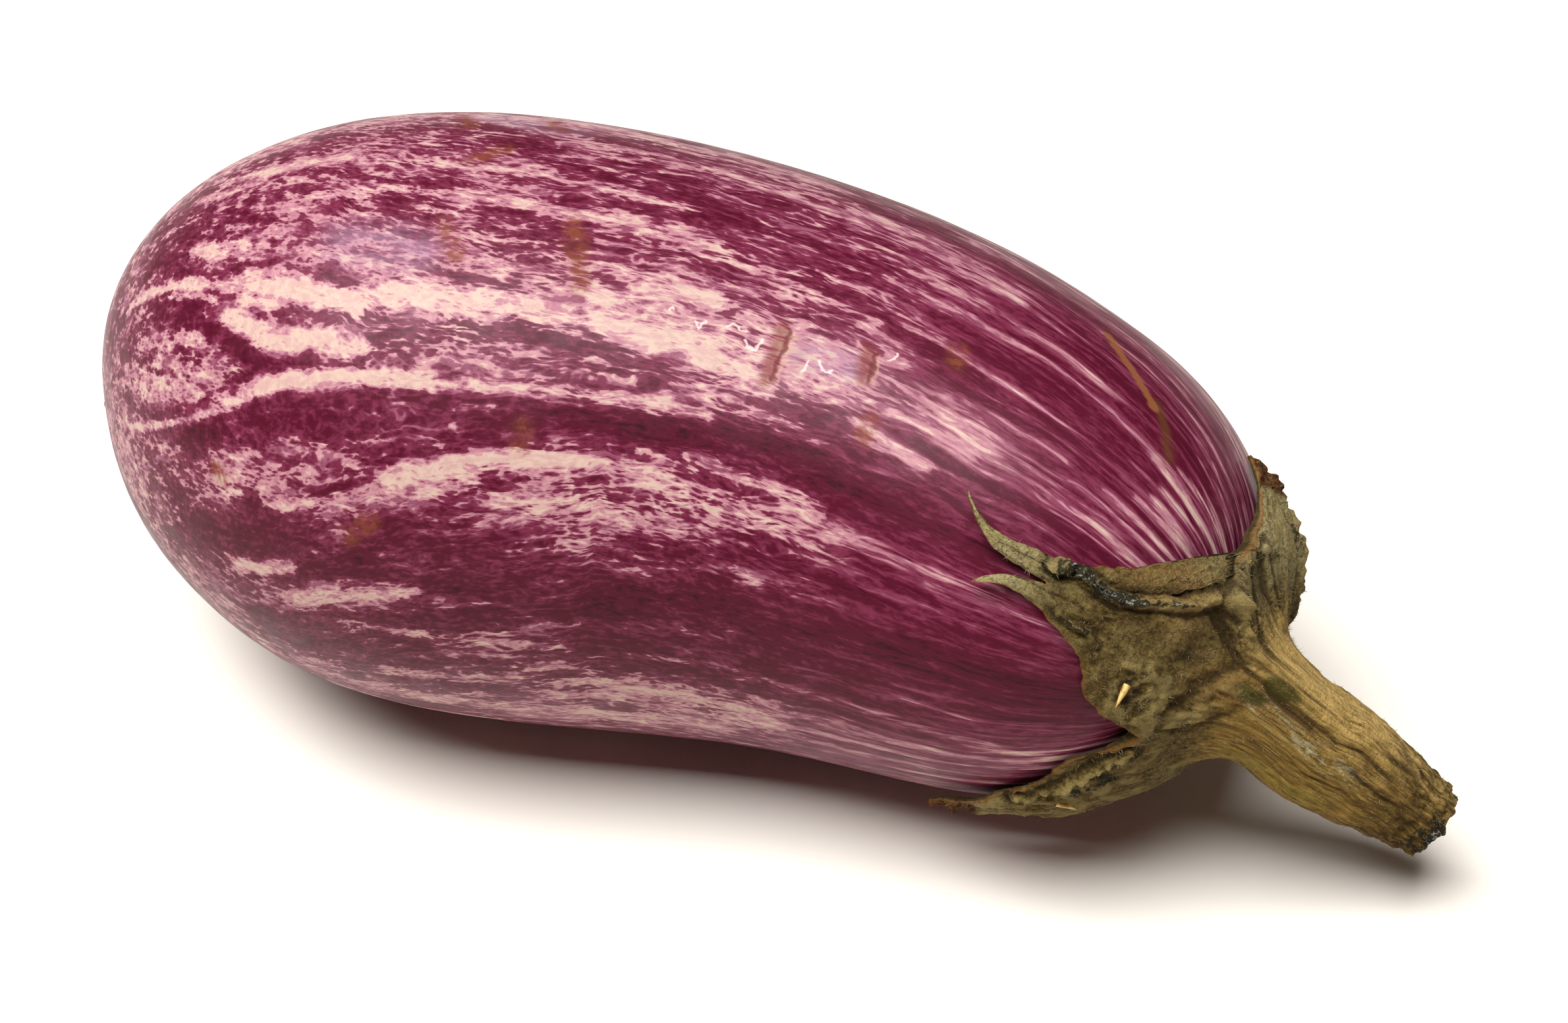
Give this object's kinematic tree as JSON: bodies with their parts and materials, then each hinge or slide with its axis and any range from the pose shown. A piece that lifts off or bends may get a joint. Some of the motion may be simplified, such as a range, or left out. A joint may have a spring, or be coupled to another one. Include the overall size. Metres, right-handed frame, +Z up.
{
  "type": "striped eggplant",
  "caption": "Curved purple-and-cream striped eggplant lying on its side, with a leafy calyx and a drooping cut stem.",
  "frame": {"origin": "on the surface that the eggplant lies on, under the middle of its bounding box", "axes": "+X along the fruit from the blossom end to the stem, -Y towards the inside of its curve, +Z up"},
  "size_m": [0.2014, 0.0894, 0.087],
  "materials": {
    "fruit_skin": "gloss",
    "calyx": "matte",
    "stem": "matte"
  },
  "bodies": {
    "root": {"fruit": "fruit_skin", "calyx": "calyx", "stem": "stem"}
  },
  "joints": []
}
